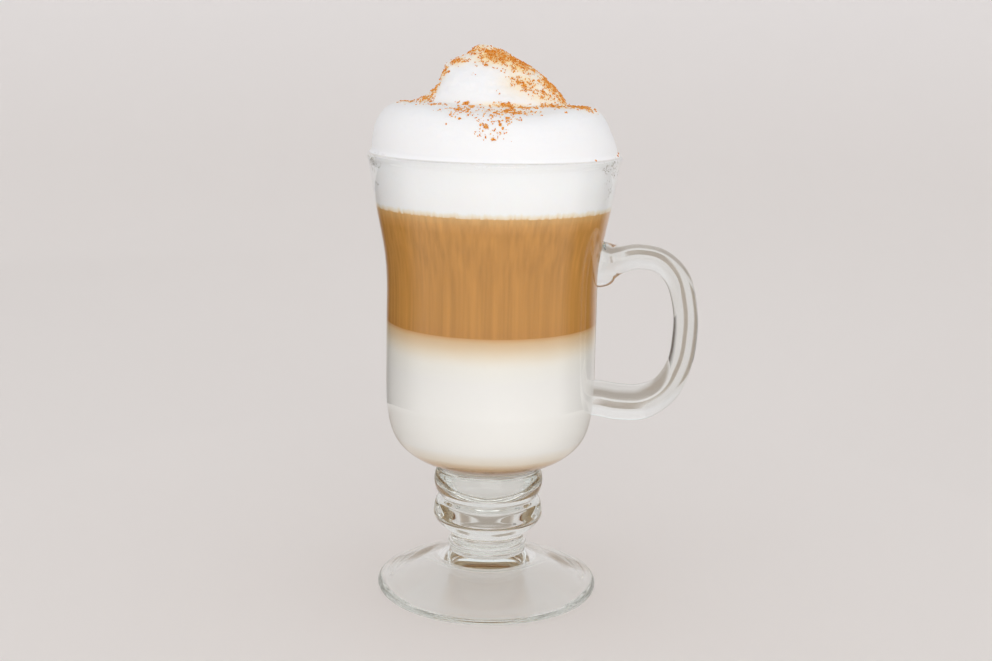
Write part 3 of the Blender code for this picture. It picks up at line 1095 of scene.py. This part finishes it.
    def roughen(self, foam: Object) -> None:
        """Works soft folds into the foam above the glass.

        Args:
            foam: The foam.
        """
        mesh = foam.data
        broad_scale, fold_scale, fine_scale = self.fold_scales
        broad_push, fold_push, fine_push = self.fold_pushes
        pushed = []
        for vertex, normal in zip(mesh.vertices, gathered(mesh.vertex_normals, "vector")):
            point = vertex.co
            lift = min(max((point.z - self.lean_from) / self.lean_over, 0.0), 1.0)
            push = 0.0
            if lift > 0.0:
                high = min(max((point.z - self.dollop_foot) / self.fold_fade, 0.0), 1.0)
                flatter = Vector((point.x, point.y, self.fold_flatness * point.z))
                broad = noise.noise(point * broad_scale)
                folds = noise.noise(flatter * fold_scale)
                fine = noise.noise(point * fine_scale)
                push = (broad_push * broad + fold_push * high * folds + fine_push * fine) * lift
            pushed += [point[k] + normal[k] * push for k in range(3)]
        mesh.vertices.foreach_set("co", pushed)
        mesh.update()

    def dust_at(self, points: np.ndarray, tinting: bool = False) -> np.ndarray:
        """How thickly the cinnamon lies at points.

        Args:
            points: Their places in metres, one row each.
            tinting: Whether the tint of the finest dust is asked for, and not the grains.

        Returns:
            A density from 0 to 1 for each.
        """
        places = points / MM
        density = np.zeros(len(places))
        for zone in self.dust:
            density = np.maximum(density, zone.at(places) * (zone.tint if tinting else 1.0))
        for zone in self.bare:
            density *= 1.0 - np.minimum(zone.at(places) * self.bare_gain, 1.0)
        return np.clip(density, 0.0, 1.0)

    def build(self, finish: Material) -> Object:
        """Builds the foam and puts it in the place of its CAD node.

        Args:
            finish: Its material.

        Returns:
            The foam.
        """
        foam = self.melt(self.cap(), self.dollop())
        self.roughen(foam)
        foam.name = "microfoam"
        tint = foam.data.attributes.new("dust", "FLOAT", "POINT")
        tint.data.foreach_set("value", self.dust_at(gathered(foam.data.vertices, "co"), tinting=True))
        shade(foam, finish, by_angle=False)
        place(foam, "milk_foam")
        return foam


@dataclass
class Cinnamon:
    """The powder on the foam: grains alone and in small crumbs, and clumps where it fell thickest."""

    crumbs: int = 2100
    crowding: float = 1.5
    grains_in_crumb: float = 2.2
    grain_radius: Point = (0.00012, 0.00036)
    smallness: float = 1.5
    crumb_spread: float = 0.00032
    sink: float = 0.45
    heaping: float = 0.30
    grain_shape: Place = (1.0, 0.76, 0.58)
    grain_roughness: float = 0.5
    grain_corners: float = 2.3
    ceiling: float = 0.1680
    grain_bulge: float = 1.25
    seed: int = 20
    # Place and width of each clump, in millimetres, three to a line
    clumps: tuple[tuple[float, float, float, float], ...] = (
        (-8.6, -16.2, 151.4, 2.0), (-7.8, -16.1, 151.8, 1.2), (-6.5, -19.1, 150.7, 1.5),
        (-10.6, -25.4, 150.0, 1.6), (-7.9, -27.7, 149.5, 0.8), (-9.7, -31.2, 147.9, 1.0),
        (-0.4, -35.7, 142.7, 1.3), (-2.6, -34.0, 146.2, 1.7), (-3.9, -33.6, 146.5, 0.9),
        (1.5, -33.4, 146.7, 1.0), (2.2, -34.1, 145.7, 0.9), (-0.1, -26.0, 149.4, 1.3),
        (0.9, -27.6, 149.1, 1.2), (2.3, -17.0, 151.3, 1.9), (3.6, -16.9, 151.2, 1.9),
        (3.8, -21.4, 149.9, 2.2), (3.1, -23.8, 149.6, 1.3), (5.1, -24.6, 149.3, 1.6),
        (6.7, -25.1, 149.2, 1.6), (4.7, -19.2, 150.4, 1.3), (7.3, -17.4, 150.6, 1.3),
        (9.2, -18.1, 150.5, 1.1), (11.6, -17.6, 150.4, 1.2), (13.4, -15.4, 150.7, 1.1),
        (16.6, -11.6, 151.0, 1.5), (18.8, -11.3, 150.7, 1.1), (21.3, -6.0, 151.0, 1.3),
        (22.4, -11.2, 150.5, 1.2), (24.4, -8.0, 150.5, 1.2), (26.2, -6.9, 150.3, 1.0),
        (28.8, -23.8, 136.8, 0.6), (36.6, -8.6, 137.2, 0.7), (37.2, -5.0, 137.6, 0.6),
        (20.0, -21.5, 149.6, 1.0), (3.3, -30.5, 148.4, 1.0), (1.2, -32.6, 147.4, 0.8),
        (-0.9, -29.9, 148.8, 1.0), (-22.8, -4.0, 151.6, 0.9), (-20.9, -5.2, 152.2, 1.1),
        (-18.6, -7.8, 152.8, 1.1), (8.2, -11.1, 156.6, 1.7), (6.5, -11.0, 157.5, 1.2),
        (12.3, -7.3, 157.8, 1.3), (13.5, -10.1, 154.9, 1.3), (-2.6, -3.0, 165.9, 1.5),
        (2.4, -3.6, 164.6, 1.4), (4.7, -2.8, 164.0, 1.5), (-4.2, -5.7, 164.0, 1.2),
        (-3.0, -8.3, 162.2, 1.3), (-12.8, -2.8, 162.8, 1.0), (-13.8, -6.9, 160.0, 1.0),
    )
    clump_fill: float = 15.0
    clump_growth: float = 1.7
    clump_spread: float = 0.42

    def grain(self) -> tuple[np.ndarray, np.ndarray]:
        """Models one angular grain, of radius 1.

        Returns:
            Its points and its triangles.
        """
        deselect()
        bpy.ops.mesh.primitive_ico_sphere_add(subdivisions=1, radius=1.0, location=(0.0, 0.0, 0.0))
        bpy.ops.object.mode_set(mode="EDIT")
        bpy.ops.mesh.select_all(action="SELECT")
        bpy.ops.transform.resize(value=self.grain_shape)
        bpy.ops.object.mode_set(mode="OBJECT")
        model = bpy.context.active_object
        for vertex in model.data.vertices:
            vertex.co *= 1.0 + self.grain_roughness * noise.noise(vertex.co * self.grain_corners)
        points = np.array([v.co[:] for v in model.data.vertices])
        triangles = np.array([p.vertices[:] for p in model.data.polygons])
        bpy.data.objects.remove(model)
        return points, triangles

    def drop(
        self, skin: BVHTree, middle: Vector, spread: float, count: int, draw: np.random.Generator
    ) -> Grains:
        """Drops some grains close together on the foam.

        Args:
            skin: The foam's surface.
            middle: Where they fall.
            spread: How far most of them lie from there.
            count: How many they are.
            draw: The source of random numbers.

        Returns:
            A place and a radius for each grain.
        """
        places = []
        small, large = self.grain_radius
        for number in range(count):
            away = Vector(draw.normal(size=3)) * spread * 0.5
            spot, normal, _, _ = skin.find_nearest(middle + away)
            radius = small + (large - small) * float(draw.random()) ** self.smallness
            heaped = self.heaping * radius * (number % 3) * math.exp(-((away.length / spread) ** 2))
            spot += normal * (radius * (0.5 - self.sink) + heaped)
            spot.z = min(spot.z, self.ceiling - self.grain_bulge * radius)
            places.append((spot, radius))
        return places

    def scatter(self, foam: Object, skin: BVHTree, density: np.ndarray) -> Grains:
        """Drops the crumbs of powder where the powder lies.

        Args:
            foam: The foam.
            skin: Its surface.
            density: How thickly the powder lies at each face.

        Returns:
            A place and a radius for each grain.
        """
        draw = np.random.default_rng(self.seed)
        faces = foam.data.polygons
        weight = gathered(faces, "area", 1)[:, 0] * density**self.crowding
        chosen = draw.choice(len(faces), size=self.crumbs, p=weight / weight.sum())
        places = []
        for index in chosen:
            count = int(draw.geometric(1.0 / self.grains_in_crumb))
            spread = self.crumb_spread * math.sqrt(count)
            places += self.drop(skin, faces[int(index)].center, spread, count, draw)
        return places

    def heap(self, skin: BVHTree) -> Grains:
        """Drops the clumps.

        Args:
            skin: The foam's surface.

        Returns:
            A place and a radius for each grain.
        """
        draw = np.random.default_rng(self.seed + 1)
        places = []
        for x, y, z, width in self.clumps:
            count = int(self.clump_fill * width**self.clump_growth) + 2
            middle = Vector((x, y, z)) * MM
            places += self.drop(skin, middle, self.clump_spread * width * MM, count, draw)
        return places

    def build(self, foam: Object, model: MilkFoam, finish: Material) -> Object:
        """Builds all the powder as one piece.

        Args:
            foam: The foam that it lies on.
            model: The foam's class, which says where the dust lies.
            finish: The powder's material.

        Returns:
            The powder.
        """
        points, triangles = self.grain()
        shape = bmesh.new()
        shape.from_mesh(foam.data)
        skin = BVHTree.FromBMesh(shape)
        shape.free()
        density = model.dust_at(gathered(foam.data.polygons, "center"))
        places = self.scatter(foam, skin, density) + self.heap(skin)
        draw = np.random.default_rng(self.seed + 2)
        all_points = []
        all_triangles = []
        for number, (spot, radius) in enumerate(places):
            turn = np.array(Euler(tuple(draw.random(3) * math.tau)).to_matrix())
            all_points.append(points @ turn.T * radius + np.array(spot))
            all_triangles.append(triangles + number * len(points))
        mesh = bpy.data.meshes.new("cinnamon_powder")
        mesh.from_pydata(np.concatenate(all_points), [], np.concatenate(all_triangles))
        mesh.materials.append(finish)
        powder = bpy.data.objects.new("cinnamon_powder", mesh)
        bpy.context.scene.collection.objects.link(powder)
        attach(powder, BODY)
        LOG.info("%s: %d grains, %d faces", powder.name, len(places), len(mesh.polygons))
        return powder


@dataclass(frozen=True)
class Lamp:
    """A soft rectangular light that points at the drink.

    One for the drink alone isn't mirrored in the glass, and leaves no bright spot on the stage.
    """

    name: str
    at: Place
    size: Point
    watts: float
    drink_only: bool = True

    def build(self) -> Object:
        """Adds the light.

        Returns:
            The light.
        """
        deselect()
        bpy.ops.object.light_add(type="AREA", location=self.at)
        lamp = bpy.context.active_object
        lamp.name = self.name
        aim = Vector(AIM) - Vector(self.at)
        lamp.rotation_euler = aim.to_track_quat("-Z", "Y").to_euler()
        lamp.data.shape = "RECTANGLE"
        lamp.data.size, lamp.data.size_y = self.size
        lamp.data.energy = self.watts
        lamp.visible_camera = False
        lamp.visible_glossy = not self.drink_only
        lamp.visible_transmission = not self.drink_only
        return lamp


@dataclass(frozen=True)
class Card:
    """A grey or brown card curved round the drink, which only the glass sees.

    It draws the edges of the glass, and nothing else is darkened by it. Its turn is in degrees
    from straight behind the drink, and its two long edges are given as (radius, height).
    """

    name: str
    turn: Point
    low: Point
    high: Point
    colour: str
    way: Fade = Fade.ROUND
    steps: int = 24

    def paper(self) -> Material:
        """Makes its paper, which is darkest in the middle and fades to the floor's tone.

        Returns:
            The material.
        """
        material, tree, shader, spot, axes = new_material(self.name)
        if self.way is Fade.ROUND:
            start, end = math.radians(self.turn[0]), math.radians(self.turn[1])
            sides = {0: axes.outputs["X"], 1: axes.outputs["Y"]}
            measure = add_node(tree, "Math", sides, operation="ARCTAN2").outputs[0]
        else:
            start, end = self.low[0], self.high[0]
            measure = add_node(tree, "VectorMath", {0: spot}, operation="LENGTH").outputs["Value"]
        share = add_node(tree, "MapRange", {"Value": measure, "From Min": start, "From Max": end})
        fade = ((0.0, FLOOR_COLOUR), (0.25, self.colour), (0.75, self.colour), (1.0, FLOOR_COLOUR))
        tone = add_node(tree, "ValToRGB", {0: share}, fade)
        feed(tree, shader, {"Base Color": tone, "Roughness": 0.9, "Specular IOR Level": 0.0})
        # Light on its way to the drink passes the card, so that the drink isn't darkened by it.
        ray = add_node(tree, "LightPath")
        past = add_node(tree, "BsdfTransparent")
        mixed = add_node(tree, "MixShader", {0: ray.outputs["Diffuse Depth"], 1: shader, 2: past})
        feed(tree, tree.nodes["Material Output"], {"Surface": mixed})
        return material

    def build(self) -> None:
        """Models the card and puts it on the stage."""
        first = math.radians(90.0 - self.turn[0])
        sweep = math.radians(self.turn[1] - self.turn[0])
        card = turned(self.name, (self.low, self.high), self.steps, first, sweep)
        card.data.materials.append(self.paper())
        card.visible_camera = False
        card.visible_diffuse = False
        card.visible_shadow = False


LAMPS = (
    Lamp("window", (0.12, -1.05, 0.48), (0.9, 0.6), 1.5, drink_only=False),
    Lamp("reflector", (0.0, -0.95, 0.10), (0.7, 0.16), 2.4),
    Lamp("fill_left", (-0.9, -0.35, 0.26), (0.5, 0.5), 0.48),
    Lamp("fill_right", (0.9, -0.35, 0.26), (0.5, 0.5), 0.80),
)

CARDS = (
    Card("low_card_left", (-104.0, -12.0), (0.21, 0.002), (0.74, 0.002), "4A3D2F"),
    Card("low_card_right", (34.0, 104.0), (0.21, 0.002), (0.74, 0.002), "4A3D2F"),
    Card("card_left", (-96.0, -42.0), (0.75, 0.002), (0.75, 0.40), "7B7167"),
    Card("card_right", (42.0, 96.0), (0.75, 0.002), (0.75, 0.40), "7B7167"),
    Card("strip_left", (-22.0, -3.0), (0.25, 0.002), (0.25, 0.06), "C3B8AC"),
    Card("strip_right", (12.0, 24.0), (0.25, 0.002), (0.25, 0.06), "C3B8AC"),
    Card("ring_card", (-180.0, 180.0), (0.075, 0.002), (0.21, 0.002), "BDB2A7", Fade.OUTWARD),
)


@dataclass
class Studio:
    """The plain pale floor and backdrop, the cards, the soft lights and the camera."""

    backdrop_line: tuple[Point, ...] = (
        (0.0, -0.0002),
        (0.55, -0.0002),
        (1.10, -0.0002),
        (1.68, 0.10),
        (2.12, 0.50),
        (2.30, 1.05),
        (2.30, 1.90),
    )
    backdrop_steps: int = 96
    backdrop_points: int = 6
    warm_up_to: float = 0.40
    wall_colour: str = "FEFBFA"
    sky_colour: str = "F4F5F7"
    sky_strength: float = 0.92
    light_bounces: int = 28
    camera_place: Place = (0.001473, -0.41397, 0.16858)
    camera_pitch: float = 0.206
    camera_roll: float = 0.020
    camera_lens: float = 50.0
    camera_sensor: float = 36.0
    camera_range: Point = (0.01, 10.0)

    def backdrop(self) -> None:
        """Models a floor of matt paper that sweeps up into a wall all round."""
        line = smooth_profile(self.backdrop_line, self.backdrop_points)
        drop = turned("backdrop", line, self.backdrop_steps)
        material, tree, shader, _, axes = new_material("matt_paper")
        # The paper is a little warmer underfoot than on the wall.
        heights = {"Value": axes.outputs["Z"], "From Min": 0.0, "From Max": self.warm_up_to}
        height = add_node(tree, "MapRange", heights)
        tone = add_node(tree, "ValToRGB", {0: height}, ((0.0, FLOOR_COLOUR), (1.0, self.wall_colour)))
        feed(tree, shader, {"Base Color": tone, "Roughness": 0.9, "Specular IOR Level": 0.1})
        shade(drop, material, by_angle=False)

    def lights(self, lit: Sequence[Object]) -> None:
        """Sets the soft sky and the lamps.

        Args:
            lit: The pieces that the lamps for the drink alone shine on.
        """
        scene = bpy.context.scene
        scene.world = bpy.data.worlds.new("sky")
        scene.world.use_nodes = True
        sky = {"Color": linear(self.sky_colour), "Strength": self.sky_strength}
        feed(scene.world.node_tree, scene.world.node_tree.nodes["Background"], sky)
        drink = bpy.data.collections.new("drink")
        for piece in lit:
            drink.objects.link(piece)
        for lamp in LAMPS:
            light = lamp.build()
            if lamp.drink_only:
                light.light_linking.receiver_collection = drink
        # Light runs far inside the foot and the handle before it comes out again.
        scene.cycles.max_bounces = self.light_bounces
        scene.cycles.glossy_bounces = self.light_bounces
        scene.cycles.transmission_bounces = self.light_bounces
        scene.view_settings.view_transform = "Standard"
        scene.view_settings.look = "None"

    def camera(self) -> None:
        """Sets the camera at the photograph's viewing angle, for a picture of 992 by 661."""
        deselect()
        bpy.ops.object.camera_add()
        camera = bpy.context.active_object
        camera.name = "view"
        camera.data.lens = self.camera_lens
        camera.data.sensor_width = self.camera_sensor
        camera.data.clip_start, camera.data.clip_end = self.camera_range
        tilt = Matrix.Rotation(math.pi / 2 - self.camera_pitch, 4, "X")
        roll = Matrix.Rotation(self.camera_roll, 4, "Z")
        camera.matrix_world = Matrix.Translation(self.camera_place) @ tilt @ roll
        bpy.context.scene.camera = camera

    def build(self, lit: Sequence[Object]) -> None:
        """Builds the whole studio.

        Args:
            lit: The drink's pieces.
        """
        self.camera()
        self.backdrop()
        for card in CARDS:
            card.build()
        self.lights(lit)


LAYERS = (
    # Painted reflection: this brown layer under the milk, on the CAD node settled_coffee, stands in
    # for a brown wooden table seen through the bowl's floor.
    DrinkLayer(
        "table_reflection_layer",
        "settled_coffee",
        FLOOR_HEIGHT - WALL_REACH,
        BROWN_LAYER_TOP,
        Drink(
            "settled_coffee",
            (0.0430, 0.0438, 0.0444, 0.0456),
            ("E6D8C4", "D9BE98", "A87848", "BE8E5A"),
        ),
    ),
    DrinkLayer(
        "steamed_milk",
        "milk",
        BROWN_LAYER_TOP,
        MILK_TOP,
        Drink(
            "steamed_milk",
            # Painted reflection and painted light: the lowest 2.4 mm turn warm tan for a brown wooden
            # table below, and are lightened against the shade under the bowl.
            (0.0456, 0.0466, 0.0480, 0.0510, 0.0720, 0.0745, 0.0770),
            ("CDA272", "E6C8A0", "F9EEDE", "F7F5F1", "EFEDEA", "EFEDE8", "EFECE5"),
            swirl=0.0006,
        ),
    ),
    DrinkLayer(
        "milky_coffee",
        "milky_layer",
        MILK_TOP,
        MILKY_TOP,
        Drink(
            "milky_coffee",
            (0.0770, 0.0785, 0.0805, 0.0825, 0.0845, 0.0857),
            ("EFECE5", "EEE8DD", "E9DDC9", "E1CCAE", "D9BA92", "CE9F69"),
            swirl=0.0008,
        ),
    ),
    DrinkLayer(
        "coffee_with_milk",
        "coffee",
        MILKY_TOP,
        COFFEE_TOP,
        Drink(
            "coffee_with_milk",
            (0.0857, 0.0900, 0.1160, 0.1185, 0.1205),
            ("BE8848", "C28D4A", "C38E4B", "CD995A", "D5AA70"),
            # Painted reflection streaks on the coffee, 14 % either way.
            reflection_streak=0.14,
            swirl=0.0004,
        ),
    ),
)


def main() -> None:
    """Builds the studio and every piece, in order."""
    logging.basicConfig(level=logging.INFO, format="%(asctime)s %(message)s", datefmt="%H:%M:%S")
    pieces = [GlassMug().build(ClearGlass().material())]
    for layer in LAYERS:
        pieces.append(layer.build())
    model = MilkFoam()
    foam = model.build(Microfoam().material())
    powder = Cinnamon().build(foam, model, GroundCinnamon().material())
    Studio().build([*pieces, foam, powder])


if __name__ == "__main__":
    main()
